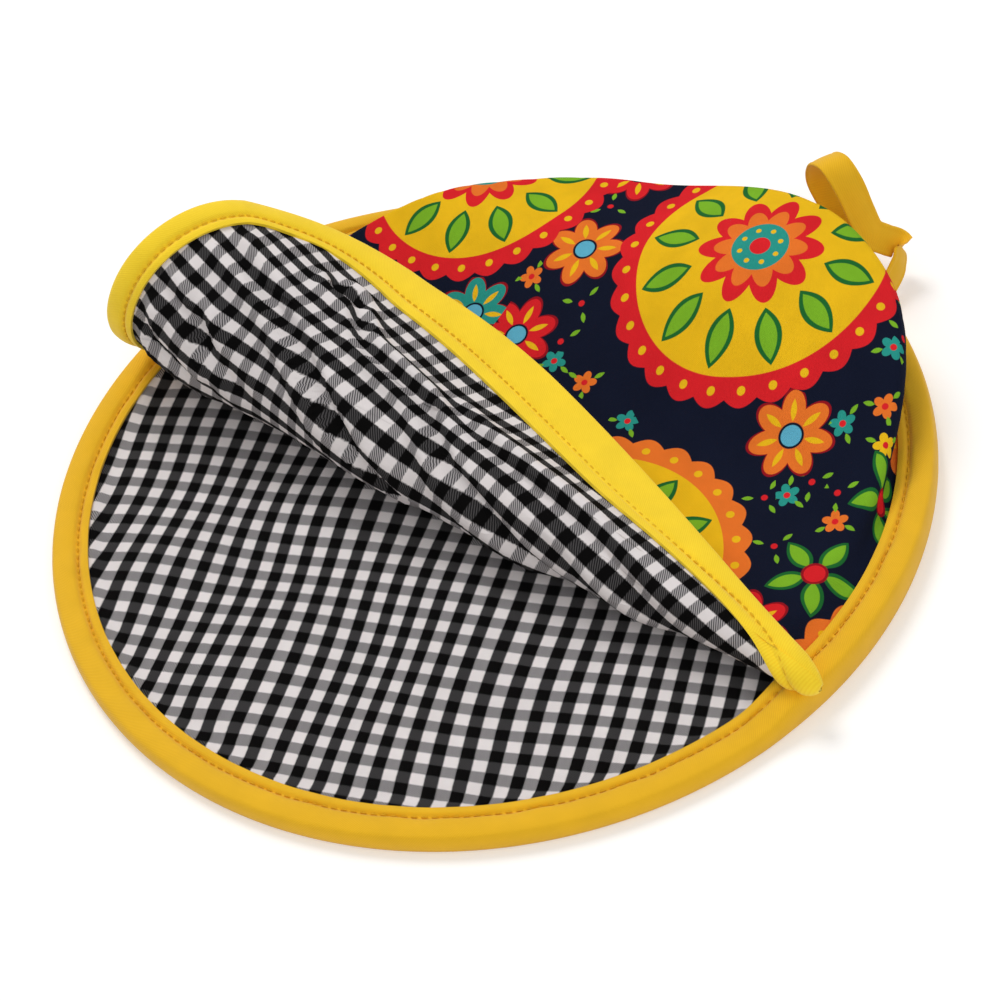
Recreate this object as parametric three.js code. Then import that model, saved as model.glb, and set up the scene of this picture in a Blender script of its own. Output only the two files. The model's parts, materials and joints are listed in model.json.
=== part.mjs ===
// A round quilted cloth pouch that keeps tortillas warm.
// The lower panel is a full disc. The upper panel is sewn to it round the back, and its
// front part is a loose flap, which rests folded back on itself over a cone-shaped roll.
// Units are millimetres, +Z is up, and the pouch lies on the plane z = 0 round the origin.
// The fold runs along X and the mouth faces -Y.
import * as THREE from 'three';

const degree = Math.PI / 180;

// Driving sizes of the pouch
const pouchRadius = 152.4;
const clothThickness = 0.8;
const battingThickness = 1.8;
const touchGap = 0.3;
const pocketGap = 6;
const domeHeight = 18.5;
const domeFootDistance = 48;
const domeTopDistance = 112;
const bulgeHeight = 17;
const bulgeReach = 77;
const bulgeRight = 55;
const bulgeBack = 114;
const seamRiseRun = 10.5;
const drawnIn = 15;
const drawnAzimuth = 126 * degree;
const drawnHalfAngle = 46 * degree;

// Bias tape that binds the edges
const tapeWidth = 13;
const tapeThickness = 1;
const tapeBulge = 2.4;
const baseLiftRun = 4;

// The flap's cut and its roll
const flapSetback = 3.4;
const creaseGap = 0.5;
const tapeCreaseGap = 1.5;
const foldPointOutside = 5.9;
const foldPointForward = 27;
const foldEndRun = 20;
const mouthTipRun = 40;
const mouthBow = 4;
const creaseCount = 5;
const foldTurn = 210 * degree;
const foldStart = -7 * degree;
const rollHalfAngle = 5.71 * degree;
const mouthCutAzimuth = -125 * degree;

// The hanging loop
const loopReach = 45;
const loopTapeWidth = 11;
const loopTapeThickness = 1.6;
const loopAzimuth = 62 * degree;

// Counts of steps along round forms
const discSteps = 72;
const rimSteps = 96;
const coverColumns = 30;
const coverRows = 14;
const arcSteps = 18;
const cutSteps = 10;
const loopSteps = 56;

// Sizes worked out from the driving ones
const panelThickness = 2 * clothThickness + battingThickness + 2 * touchGap;
const battingDepth = clothThickness + touchGap;
const liningDepth = battingDepth + battingThickness + touchGap;
const rimLift = tapeThickness + touchGap;
const frontRimHeight = 2 * rimLift + panelThickness;
const backRimHeight = frontRimHeight + panelThickness + touchGap;
const seamLevel = rimLift + 2 * panelThickness + touchGap;
const foldHeight = 2 * panelThickness + pocketGap;
const panelInset = tapeBulge + touchGap;
const panelRadius = pouchRadius - panelInset;
const clearRadius = pouchRadius - tapeWidth - touchGap;
const flapRadius = pouchRadius - flapSetback;
const foldPointRadius = pouchRadius + foldPointOutside;
const foldPoint = new THREE.Vector2(
  Math.sqrt(foldPointRadius ** 2 - foldPointForward ** 2),
  -foldPointForward,
);
const creaseTurn = foldTurn / creaseCount;
const halfStrip = Math.asin(Math.tan(rollHalfAngle) * Math.tan(creaseTurn / 2));

const colours = {
  print: 0x16203a,
  gingham: 0x8d8a8a,
  batting: 0xe9e4d6,
  rimTape: 0xe3a81c,
  mouthTape: 0xf6cd2a,
};

const warmer = new THREE.Group();

function addPiece(parent, name, geometry, colour, roughness) {
  const material = new THREE.MeshStandardMaterial({ color: colour, roughness, metalness: 0 });
  const mesh = new THREE.Mesh(geometry, material);
  mesh.name = name;
  parent.add(mesh);
  return mesh;
}

function smoothShare(share) {
  const held = Math.min(Math.max(share, 0), 1);
  return held * held * (3 - 2 * held);
}

// A body from rings of points: each ring is a list of Vector3, all of the same length.
// The rings either close on each other or end in two flat caps. The second half of a
// ring has its diagonals the other way, so that both faces of a layer fold alike.
function ringBody(rings, capTriangles, closed) {
  const perRing = rings[0].length;
  const positions = rings.flat().flatMap((point) => [point.x, point.y, point.z]);
  const triangles = [];
  const last = closed ? rings.length : rings.length - 1;
  for (let ring = 0; ring < last; ring += 1) {
    const here = ring * perRing;
    const next = ((ring + 1) % rings.length) * perRing;
    for (let side = 0; side < perRing; side += 1) {
      const other = (side + 1) % perRing;
      if (side < perRing / 2) {
        triangles.push(here + side, here + other, next + other);
        triangles.push(here + side, next + other, next + side);
      } else {
        triangles.push(here + side, here + other, next + side);
        triangles.push(here + other, next + other, next + side);
      }
    }
  }
  if (!closed) {
    const end = (rings.length - 1) * perRing;
    for (const [a, b, c] of capTriangles) {
      triangles.push(c, b, a);
      triangles.push(end + a, end + b, end + c);
    }
  }
  const geometry = new THREE.BufferGeometry();
  geometry.setAttribute('position', new THREE.Float32BufferAttribute(positions, 3));
  geometry.setIndex(triangles);
  geometry.computeVertexNormals();
  return geometry;
}

// The tape's C-shaped section, as pairs of distance in from the outer edge and height.
function tapeSection(low, high, width = tapeWidth) {
  const shoulder = (high - low) / 4;
  return [
    [width, low],
    [tapeBulge / 2, low],
    [0, low + shoulder],
    [0, high - shoulder],
    [tapeBulge / 2, high],
    [width, high],
    [width, high - tapeThickness],
    [tapeBulge, high - tapeThickness],
    [tapeBulge, low + tapeThickness],
    [width, low + tapeThickness],
  ];
}

// Triangles that fill a section, wound the way that the section runs.
function sectionTriangles(section) {
  const outline = section.map(([x, y]) => new THREE.Vector2(x, y));
  const wound = Math.sign(THREE.ShapeUtils.area(outline));
  return THREE.ShapeUtils.triangulateShape(outline, []).map(([a, b, c]) => {
    const turn = THREE.ShapeUtils.area([outline[a], outline[b], outline[c]]);
    return Math.sign(turn) === wound ? [a, b, c] : [c, b, a];
  });
}

// Tape along an edge: each stop has a point on the outer edge, the way in from there and
// the tape's width there.
function edgeTape(stops, low, high) {
  const rings = stops.map(({ point, inward, width }) =>
    tapeSection(low, high, width).reverse().map(([distance, height]) => new THREE.Vector3(
      point.x + inward.x * distance,
      point.y + inward.y * distance,
      height,
    )));
  return ringBody(rings, sectionTriangles(tapeSection(low, high).reverse()), false);
}

// The puffed cover draws the panels and the rim in at the back.
function drawIn(geometry) {
  const places = geometry.getAttribute('position');
  for (let index = 0; index < places.count; index += 1) {
    const x = places.getX(index);
    const y = places.getY(index);
    const fromMiddle = Math.abs(Math.atan2(y, x) - drawnAzimuth);
    const reachShare = Math.hypot(x, y) / pouchRadius;
    const pull = smoothShare(1 - fromMiddle / drawnHalfAngle) * (drawnIn / pouchRadius) * reachShare ** 2;
    places.setXY(index, x * (1 - pull), y * (1 - pull));
  }
  return geometry;
}

// The lower panel: three discs, lifted at the edge by the tape that goes under them.
function discLayer(low, thickness) {
  const liftEnd = clearRadius - touchGap;
  const liftStart = liftEnd - baseLiftRun;
  const profile = [
    [0, low],
    [liftStart, low],
    [liftEnd, low + rimLift],
    [panelRadius, low + rimLift],
    [panelRadius, low + rimLift + thickness],
    [liftEnd, low + rimLift + thickness],
    [liftStart, low + thickness],
    [0, low + thickness],
  ].map(([x, y]) => new THREE.Vector2(x, y));
  return drawIn(new THREE.LatheGeometry(profile, discSteps).rotateX(90 * degree));
}

function addBase() {
  const battingLow = clothThickness + touchGap;
  const liningLow = battingLow + battingThickness + touchGap;
  addPiece(warmer, 'base_outer', discLayer(0, clothThickness), colours.print, 0.85);
  addPiece(warmer, 'base_batting', discLayer(battingLow, battingThickness), colours.batting, 0.95);
  addPiece(warmer, 'base_lining', discLayer(liningLow, clothThickness), colours.gingham, 0.85);
}

// Directions in the flat panel are angles about the fold point, from -X towards -Y.
function flatWay(angle) {
  return new THREE.Vector2(-Math.cos(angle), -Math.sin(angle));
}

function creaseAngle(crease) {
  return foldStart + halfStrip * (2 * crease - 1);
}

// How far from the fold point a ray leaves a circle round the origin.
function reachToCircle(angle, radius) {
  const way = flatWay(angle);
  const along = foldPoint.dot(way);
  return -along + Math.sqrt(along ** 2 - foldPoint.lengthSq() + radius ** 2);
}

// A flat point given by its angle and distance about the fold point and a side step.
function flatPoint(angle, distance, sideStep = 0) {
  const way = flatWay(angle);
  return new THREE.Vector2(
    way.x * distance - way.y * sideStep,
    way.y * distance + way.x * sideStep,
  );
}

const firstCrease = creaseAngle(1);
const lastCrease = creaseAngle(creaseCount);

// The sewn cover: a grid from the first crease to the seam round the back.
const creaseLeftReach = reachToCircle(firstCrease, clearRadius);
const seamGapAngle = 4 * degree;

function coverFrontPoint(share) {
  const distance = THREE.MathUtils.lerp(foldEndRun, creaseLeftReach, share);
  return flatPoint(firstCrease, distance, -creaseGap / 2).add(foldPoint);
}

function azimuthOf(point) {
  return Math.atan2(point.y, point.x);
}

const seamStart = azimuthOf(coverFrontPoint(0)) + seamGapAngle;
const seamEnd = azimuthOf(coverFrontPoint(1)) + 360 * degree - 1.5 * seamGapAngle;

function coverHeight(point) {
  const fromFold = point.clone().sub(foldPoint).cross(flatWay(firstCrease));
  const distance = Math.abs(fromFold);
  const domeShare = smoothShare((distance - domeFootDistance) / (domeTopDistance - domeFootDistance));
  const fromBulge = Math.hypot(point.x - bulgeRight, point.y - bulgeBack);
  const puff = domeHeight * domeShare + bulgeHeight * smoothShare(1 - fromBulge / bulgeReach);
  const inside = smoothShare((clearRadius - point.length()) / seamRiseRun);
  return seamLevel + inside * (foldHeight - seamLevel + puff);
}

// Rows crowd towards the seam, where the cover drops to the rim, and the last row is the
// edge that the rim's tape holds.
function coverPoint(alongShare, row) {
  const azimuth = THREE.MathUtils.lerp(seamStart, seamEnd, alongShare);
  const back = new THREE.Vector2(Math.cos(azimuth), Math.sin(azimuth));
  if (row === coverRows) {
    return back.multiplyScalar(panelRadius);
  }
  const backShare = 1 - (1 - row / (coverRows - 1)) ** 1.6;
  return coverFrontPoint(alongShare).lerp(back.multiplyScalar(clearRadius), backShare);
}

function coverLayer(depth, thickness) {
  const rings = [];
  for (let column = 0; column <= coverColumns; column += 1) {
    const top = [];
    const bottom = [];
    for (let row = 0; row <= coverRows; row += 1) {
      const point = coverPoint(column / coverColumns, row);
      const height = coverHeight(point) - depth;
      top.push(new THREE.Vector3(point.x, point.y, height));
      bottom.unshift(new THREE.Vector3(point.x, point.y, height - thickness));
    }
    rings.push([...top, ...bottom]);
  }
  const capTriangles = [];
  const lastIndex = 2 * coverRows + 1;
  for (let row = 0; row < coverRows; row += 1) {
    capTriangles.push([row, row + 1, lastIndex - row]);
    capTriangles.push([row + 1, lastIndex - row - 1, lastIndex - row]);
  }
  return drawIn(ringBody(rings, capTriangles, false));
}

function addCover() {
  addPiece(warmer, 'cover_outer', coverLayer(0, clothThickness), colours.print, 0.85);
  const batting = coverLayer(battingDepth, battingThickness);
  addPiece(warmer, 'cover_batting', batting, colours.batting, 0.95);
  addPiece(warmer, 'cover_lining', coverLayer(liningDepth, clothThickness), colours.gingham, 0.85);
}

// The rim's tape is low round the mouth and higher where it also holds the cover's edge.
const rimClimb = 8 * degree;
const seamRightAzimuth = azimuthOf(coverFrontPoint(0)) - rimClimb;
const seamLeftAzimuth = azimuthOf(coverFrontPoint(1)) + 360 * degree + seamGapAngle / 4;

function rimHeight(azimuth) {
  const right = smoothShare((azimuth - seamRightAzimuth) / rimClimb);
  const left = smoothShare((seamLeftAzimuth - azimuth) / (seamGapAngle * 0.9));
  return THREE.MathUtils.lerp(frontRimHeight, backRimHeight, Math.min(right, left));
}

function addRimBinding() {
  const rings = [];
  for (let step = 0; step < rimSteps; step += 1) {
    const azimuth = seamRightAzimuth - rimClimb + 360 * degree * (1 - step / rimSteps);
    const section = tapeSection(0, rimHeight(azimuth));
    rings.push(section.map(([distance, height]) => new THREE.Vector3(
      (pouchRadius - distance) * Math.cos(azimuth),
      (pouchRadius - distance) * Math.sin(azimuth),
      height,
    )));
  }
  addPiece(warmer, 'rim_binding', drawIn(ringBody(rings, [], true)), colours.rimTape, 0.8);
}

// A flat layer between two depths below the print's surface.
function flatLayer(outline, depth, thickness) {
  const geometry = new THREE.ExtrudeGeometry(new THREE.Shape(outline), {
    depth: thickness,
    bevelEnabled: false,
  });
  return geometry.translate(0, 0, -depth - thickness);
}

// One wedge of the roll, between two creases, with its bit of tape at the left end.
function stripOutline(crease) {
  const near = creaseAngle(crease);
  const far = creaseAngle(crease + 1);
  const edge = flapRadius - panelInset;
  const side = creaseGap / 2;
  return [
    flatPoint(near, foldEndRun, side),
    flatPoint(near, reachToCircle(near, edge), side),
    flatPoint(far, reachToCircle(far, edge), -side),
    flatPoint(far, foldEndRun, -side),
  ];
}

function stripTapeStops(crease) {
  const near = creaseAngle(crease);
  const far = creaseAngle(crease + 1);
  const side = tapeCreaseGap / 2;
  return [[near, side], [far, -side]].map(([angle, sideStep]) => ({
    point: flatPoint(angle, reachToCircle(angle, flapRadius), sideStep),
    inward: flatWay(angle).negate(),
    width: tapeWidth,
  }));
}

// The tape narrows where the mouth cut runs in to the last crease.
function widthBesideCrease(point, inward) {
  const way = flatWay(lastCrease);
  const distance = way.cross(point) - tapeCreaseGap / 2;
  const approach = inward.cross(way);
  return distance < approach * tapeWidth ? distance / approach : tapeWidth;
}

function addStrip(parent, crease) {
  const strip = flatLayer(stripOutline(crease), 0, panelThickness);
  addPiece(parent, `flap_fold_${crease}`, strip, colours.gingham, 0.85);
  const tape = edgeTape(stripTapeStops(crease), -panelThickness - rimLift, rimLift);
  addPiece(parent, `mouth_binding_fold_${crease}`, tape, colours.mouthTape, 0.8);
}

// The flap's free edge: an arc of the round panel, then the nearly straight mouth cut.
function mouthEdge() {
  const start = flatPoint(lastCrease, reachToCircle(lastCrease, flapRadius), tapeCreaseGap / 2);
  const startAzimuth = azimuthOf(start.clone().add(foldPoint)) + 360 * degree;
  const endAzimuth = mouthCutAzimuth + 360 * degree;
  const points = [];
  for (let step = 0; step <= arcSteps; step += 1) {
    const azimuth = THREE.MathUtils.lerp(startAzimuth, endAzimuth, step / arcSteps);
    points.push(new THREE.Vector2(Math.cos(azimuth), Math.sin(azimuth))
      .multiplyScalar(flapRadius).sub(foldPoint));
  }
  const corner = points[points.length - 1];
  const tipAngle = Math.atan2(-corner.y, -corner.x);
  const tip = flatPoint(tipAngle, mouthTipRun);
  const run = tip.clone().sub(corner);
  const outward = new THREE.Vector2(run.y, -run.x).normalize();
  for (let step = 1; step <= cutSteps; step += 1) {
    const share = step / cutSteps;
    const bow = mouthBow * 4 * share * (1 - share);
    points.push(corner.clone().addScaledVector(run, share).addScaledVector(outward, bow));
  }
  return points;
}

function edgeStops(points) {
  return points.map((point, index) => {
    const before = points[Math.max(index - 1, 0)];
    const after = points[Math.min(index + 1, points.length - 1)];
    const run = after.clone().sub(before).normalize();
    if (index === 0) {
      return { point, inward: flatWay(lastCrease).negate(), width: tapeWidth };
    }
    const inward = new THREE.Vector2(-run.y, run.x);
    return { point, inward, width: widthBesideCrease(point, inward) };
  });
}

function flapOutline(stops) {
  const edge = stops.map(({ point, inward }) => point.clone().addScaledVector(inward, panelInset));
  const side = creaseGap / 2;
  return [flatPoint(lastCrease, foldEndRun, side), ...edge];
}

function addFlap(parent) {
  const stops = edgeStops(mouthEdge());
  const outline = flapOutline(stops);
  addPiece(parent, 'flap_outer', flatLayer(outline, 0, clothThickness), colours.print, 0.85);
  const batting = flatLayer(outline, battingDepth, battingThickness);
  addPiece(parent, 'flap_batting', batting, colours.batting, 0.95);
  const lining = flatLayer(outline, liningDepth, clothThickness);
  addPiece(parent, 'flap_lining', lining, colours.gingham, 0.85);
  const tape = edgeTape(stops, -panelThickness - rimLift, rimLift);
  addPiece(parent, 'mouth_binding', tape, colours.mouthTape, 0.8);
}

// The roll: each group turns about its crease inside the group before it.
function addFold() {
  let group = new THREE.Group();
  group.position.set(foldPoint.x, foldPoint.y, foldHeight);
  warmer.add(group);
  for (let crease = 1; crease <= creaseCount; crease += 1) {
    const way = flatWay(creaseAngle(crease));
    const turned = new THREE.Group();
    turned.setRotationFromAxisAngle(new THREE.Vector3(way.x, way.y, 0), creaseTurn);
    group.add(turned);
    group = turned;
    if (crease < creaseCount) {
      addStrip(group, crease);
    }
  }
  addFlap(group);
}

// The hanging loop's tape: places along its route and the way that its width lies, in
// the rim's own directions (along the rim, outward, up). The places are shares of the
// loop's reach.
const loopRouteShares = [
  [0.24, 0.0, 0.0], [0.44, 0.05, 0.1], [0.66, 0.04, 0.22], [0.88, -0.06, 0.38],
  [0.98, -0.12, 0.64], [0.87, -0.09, 0.92], [0.68, -0.04, 1.0], [0.52, 0.01, 0.84],
  [0.42, 0.04, 0.58], [0.34, 0.1, 0.4], [0.3, 0.24, 0.29], [0.26, 0.37, 0.2],
  [0.15, 0.3, 0.12], [0.06, 0.16, 0.04], [0.0, 0.03, 0.0],
];
const loopWidthShares = [
  [0.2, 0.1, 1.0], [0.1, 0.25, 0.9], [0.0, 1.0, 0.5], [0.0, 1.0, 0.0],
  [0.0, 1.0, 0.0], [0.0, 1.0, 0.0], [0.0, 1.0, 0.0], [0.0, 1.0, 0.1],
  [0.2, 1.0, 0.3], [0.5, 0.6, 0.7], [0.6, 0.2, 0.9], [0.6, 0.1, 0.9],
  [0.3, 0.1, 1.0], [0.2, 0.1, 1.0], [0.2, 0.2, 1.0],
];

function curveThrough(table, scale) {
  const points = table.map(([along, out, up]) => new THREE.Vector3(along, out, up));
  return new THREE.CatmullRomCurve3(points.map((point) => point.multiplyScalar(scale)), false);
}

function addHangingLoop() {
  const route = curveThrough(loopRouteShares, loopReach);
  const widths = curveThrough(loopWidthShares, 1);
  const rings = [];
  for (let step = 0; step <= loopSteps; step += 1) {
    const share = step / loopSteps;
    const place = route.getPoint(share);
    const run = route.getTangent(share);
    const width = widths.getPoint(share);
    width.addScaledVector(run, -width.dot(run)).normalize();
    const across = new THREE.Vector3().crossVectors(run, width);
    const corner = (widthShare, acrossShare) => place.clone()
      .addScaledVector(width, (widthShare * loopTapeWidth) / 2)
      .addScaledVector(across, (acrossShare * loopTapeThickness) / 2);
    rings.push([corner(-1, 1), corner(1, 1), corner(1, -1), corner(-1, -1)]);
  }
  const loop = addPiece(
    warmer,
    'hanging_loop',
    ringBody(rings, [[0, 1, 2], [0, 2, 3]], false),
    colours.rimTape,
    0.8,
  );
  const rootRadius = pouchRadius + loopTapeThickness / 2 + touchGap;
  loop.position.set(
    rootRadius * Math.cos(loopAzimuth),
    rootRadius * Math.sin(loopAzimuth),
    backRimHeight / 2 + touchGap,
  );
  const along = new THREE.Vector3(-Math.sin(loopAzimuth), Math.cos(loopAzimuth), 0);
  const out = new THREE.Vector3(Math.cos(loopAzimuth), Math.sin(loopAzimuth), 0);
  const basis = new THREE.Matrix4().makeBasis(along, out, new THREE.Vector3(0, 0, 1));
  loop.geometry.applyMatrix4(basis);
}

addBase();
addCover();
addRimBinding();
addFold();
addHangingLoop();

export default warmer;
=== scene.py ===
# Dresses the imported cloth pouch: its quilted panels, the roll of its flap, its tapes and its
# stitches, on a pale floor, seen from the photograph's angle.
# Lengths below are millimetres and turn into metres where a mesh is made.
import json
import math

import bpy
import numpy as np
from mathutils import Matrix, Vector


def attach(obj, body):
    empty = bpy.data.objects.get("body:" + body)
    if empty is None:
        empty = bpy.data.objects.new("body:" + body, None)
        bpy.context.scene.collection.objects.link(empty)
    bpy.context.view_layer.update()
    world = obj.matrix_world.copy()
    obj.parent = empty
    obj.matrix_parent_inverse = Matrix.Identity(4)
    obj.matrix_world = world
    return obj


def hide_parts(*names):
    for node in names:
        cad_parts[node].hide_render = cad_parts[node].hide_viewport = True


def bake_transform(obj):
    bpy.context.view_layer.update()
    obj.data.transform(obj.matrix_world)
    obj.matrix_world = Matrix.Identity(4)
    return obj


MM = 0.001

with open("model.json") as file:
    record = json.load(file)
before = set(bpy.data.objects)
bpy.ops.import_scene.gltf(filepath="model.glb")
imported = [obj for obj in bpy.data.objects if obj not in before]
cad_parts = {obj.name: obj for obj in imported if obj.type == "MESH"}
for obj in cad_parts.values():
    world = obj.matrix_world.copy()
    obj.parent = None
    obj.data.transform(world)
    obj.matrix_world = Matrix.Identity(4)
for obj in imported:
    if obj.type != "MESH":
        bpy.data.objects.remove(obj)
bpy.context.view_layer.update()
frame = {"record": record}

# Sizes of the pouch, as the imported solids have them
pouch_radius = 152.4
tape_width = 13.0
tape_thickness = 1.0
tape_bulge = 2.4
cloth_thickness = 0.8
wadding_thickness = 1.8
touch_gap = 0.3
panel_thickness = 2 * cloth_thickness + wadding_thickness + 2 * touch_gap
rim_lift = tape_thickness + touch_gap
front_rim_height = 2 * rim_lift + panel_thickness
back_rim_height = front_rim_height + panel_thickness + touch_gap
seam_level = rim_lift + 2 * panel_thickness + touch_gap
panel_inset = tape_bulge + touch_gap
panel_radius = pouch_radius - panel_inset
clear_radius = pouch_radius - tape_width - touch_gap
flap_inset = 3.4
flap_radius = pouch_radius - flap_inset
edge_radius = flap_radius - panel_inset

# The roll: a cone that leaves the cover's plane at the fold and ends in the flap's plane
creases = [joint for joint in frame["record"]["behaviour"]["joints"]
           if joint["name"].startswith("fold_crease_")]
crease_count = len(creases)
fold_point = np.array(creases[0]["pos_m"]) / MM
fold_height = fold_point[2]
crease_turn = math.radians(creases[0]["range_deg"][1])
fold_start = math.radians(-7)
roll_half_angle = math.radians(5.71)
half_strip = math.asin(math.tan(roll_half_angle) * math.tan(crease_turn / 2))
fold_end = fold_start + 2 * half_strip * crease_count

# Distances from the point where the creases meet
fold_tip_run = 3.4
panel_tip_run = 9.5
nose_start = 3.0
nose_run = 13.0

# The flap's free edge: an arc, then a slightly bowed cut to the fold's tip
mouth_cut_azimuth = math.radians(235)
mouth_bow = 12.0
mouth_tape_width = 17.0
mouth_tip_width = 5.0
mouth_arc_narrowing = 5.0
corner = flap_radius * np.array([math.cos(mouth_cut_azimuth), math.sin(mouth_cut_azimuth)])
cut_angle = math.atan2(fold_point[1] - corner[1], fold_point[0] - corner[0])

# Spans: where something begins and the run that it takes
mouth_tip_span = (0, 110)
mouth_arc_span = (212, 50)
flattening_span = (150, 100)
press_strip_span = (2, 2)
press_span = (50, 130)
press_end_span = (210, 80)
belly_span = (30, 100)
belly_rim_span = (262, 35)
overhang_span = (85, 40)


def smooth(share):
    held = np.clip(share, 0, 1)
    return held * held * (3 - 2 * held)


def ease(value, span):
    """0 before a span, 1 after it and smooth along its run."""
    return smooth((value - span[0]) / span[1])


def centre_reach(flat):
    return np.hypot(flat[..., 0], flat[..., 1])


def azimuth_of(flat):
    return np.arctan2(flat[..., 1], flat[..., 0])


def angles_round(count):
    return np.linspace(0, math.tau, count, endpoint=False)


def round_way(azimuth):
    return np.stack([np.cos(azimuth), np.sin(azimuth)], -1)


def run_along(line):
    """The length run along a line of points, at each of them."""
    return np.concatenate([[0], np.cumsum(np.linalg.norm(np.diff(line, axis=0), axis=1))])


def unit(vectors):
    return vectors / np.linalg.norm(vectors, axis=1, keepdims=True)


def points_at(where, run, line):
    return np.stack([np.interp(where, run, line[:, 0]), np.interp(where, run, line[:, 1])], -1)


def turn(axis, angle):
    """Matrices that turn about an axis by angles."""
    x, y, z = axis
    cross = np.array([[0, -z, y], [z, 0, -x], [-y, x, 0]])
    angle = np.asarray(angle)[..., None, None]
    return np.eye(3) + np.sin(angle) * cross + (1 - np.cos(angle)) * (cross @ cross)


def flat_way(angle):
    """Directions in the flat panel: angles from -X towards -Y."""
    return np.array([-np.cos(angle), -np.sin(angle), 0 * angle]).T


def strip_angle(count):
    """Strips count from 0 at the roll's start to crease_count where the flap begins."""
    return fold_start + 2 * half_strip * count


def strip_count(angle):
    return (angle - fold_start) / (2 * half_strip)


facets = [np.eye(3)]
for crease in range(crease_count):
    facets.append(facets[-1] @ turn(flat_way(strip_angle(crease + 0.5)), crease_turn))


def polar(flat):
    away = flat - fold_point[:2]
    return np.arctan2(-away[..., 1], -away[..., 0]), np.hypot(away[..., 0], away[..., 1])


def from_polar(angle, distance):
    return fold_point[:2] - round_way(angle) * np.asarray(distance)[..., None]


def strip_place(flat):
    return strip_count(polar(flat)[0])


# The cover's dome, its bulge at the back right and its drop to the rim's seam
dome_height = 18.5
dome_foot_distance = 48.0
dome_top_distance = 112.0
bulge_height = 17.0
bulge_reach = 77.0
bulge_place = np.array([55.0, 114.0])
seam_rise_run = 10.5
seam_ease_run = 9.0

# Where the rim is drawn in at the back
drawn_in = 15.0
drawn_azimuth = math.radians(126)
drawn_half_angle = math.radians(46)

# How the soft roll leaves its stiff strips
flap_flattening = 0.24
far_flattening_loss = 0.5
press_depth = 7.0
press_print_relief = 0.35
belly_depth = 5.4
belly_middle = 1.15
belly_half_width = 1.6
belly_rim_loss = 0.7
belly_print_share = 0.5

# How far the puffed cover hangs over the rim at the back right
overhang_reach = 18.0
overhang_start, overhang_end = np.radians([5, 95])
overhang_fade = math.radians(50)
overhang_seam = clear_radius - 1.5
overhang_return = 7.0
lining_overhang_loss = 0.45


def belly_share(angle, distance):
    """How much of its full sag the roll's front has."""
    from_middle = np.clip((strip_count(angle) - belly_middle) / belly_half_width, -1, 1)
    share = (1 - from_middle ** 2) ** 2 * ease(distance, belly_span)
    return share * (1 - belly_rim_loss * ease(distance, belly_rim_span))


def lining_depth(height):
    """0 at the panel's printed side and 1 at its lining."""
    return np.clip(-height / panel_thickness, 0, 1)


def soft_sag(angle, distance, height):
    """How far the cloth leaves the stiff roll, out from the printed side: the flap's free edge
    levels out, and the roll is pressed flat between its ends and sags in front."""
    count = strip_count(angle)
    beyond = np.maximum(angle - fold_end, 0)
    level = flap_flattening * distance * beyond ** 2 / (cut_angle - fold_end)
    level = level * (1 - far_flattening_loss * ease(distance, flattening_span))
    depth = lining_depth(height)
    press = press_depth * ease(count, press_strip_span) * ease(distance, press_span)
    press = press * (1 - ease(distance, press_end_span))
    level = level - press * (1 - press_print_relief * (1 - depth))
    sag_share = belly_print_share + (1 - belly_print_share) * depth
    return level + belly_depth * belly_share(angle, distance) * sag_share


def draw_in(points):
    """The puffed cover draws the panels and the rim in at the back."""
    reach_share = centre_reach(points) / pouch_radius
    from_middle = np.abs(azimuth_of(points) - drawn_azimuth)
    pull = smooth(1 - from_middle / drawn_half_angle) * drawn_in / pouch_radius * reach_share ** 2
    drawn = points.copy()
    drawn[..., :2] *= 1 - pull[..., None]
    return drawn


def overhang(flat):
    """How far the puffed cover hangs out over the rim, with and without its turn back."""
    reach = centre_reach(flat)
    azimuth = azimuth_of(flat)
    window = smooth((overhang_end - azimuth) / overhang_fade)
    window = ease(azimuth, (overhang_start, overhang_fade)) * window
    full = overhang_reach * window * ease(reach, overhang_span)
    return full * smooth((overhang_seam - reach) / overhang_return), full


def cover_rise(flat):
    """How far the cover lies above the fold's level and how far it has dropped to the seam."""
    angle, distance = polar(flat)
    behind = distance * np.sin(strip_angle(0.5) - angle)
    inside = smooth((clear_radius - centre_reach(flat)) / seam_rise_run)
    dome = dome_height * ease(behind, (dome_foot_distance, dome_top_distance - dome_foot_distance))
    from_bulge = np.linalg.norm(flat - bulge_place, axis=-1)
    dome = dome + bulge_height * smooth(1 - from_bulge / bulge_reach)
    drop = (fold_height - seam_level) * smooth(behind / seam_ease_run)
    return dome * inside - drop * (1 - inside), dome * (1 - inside)


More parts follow.
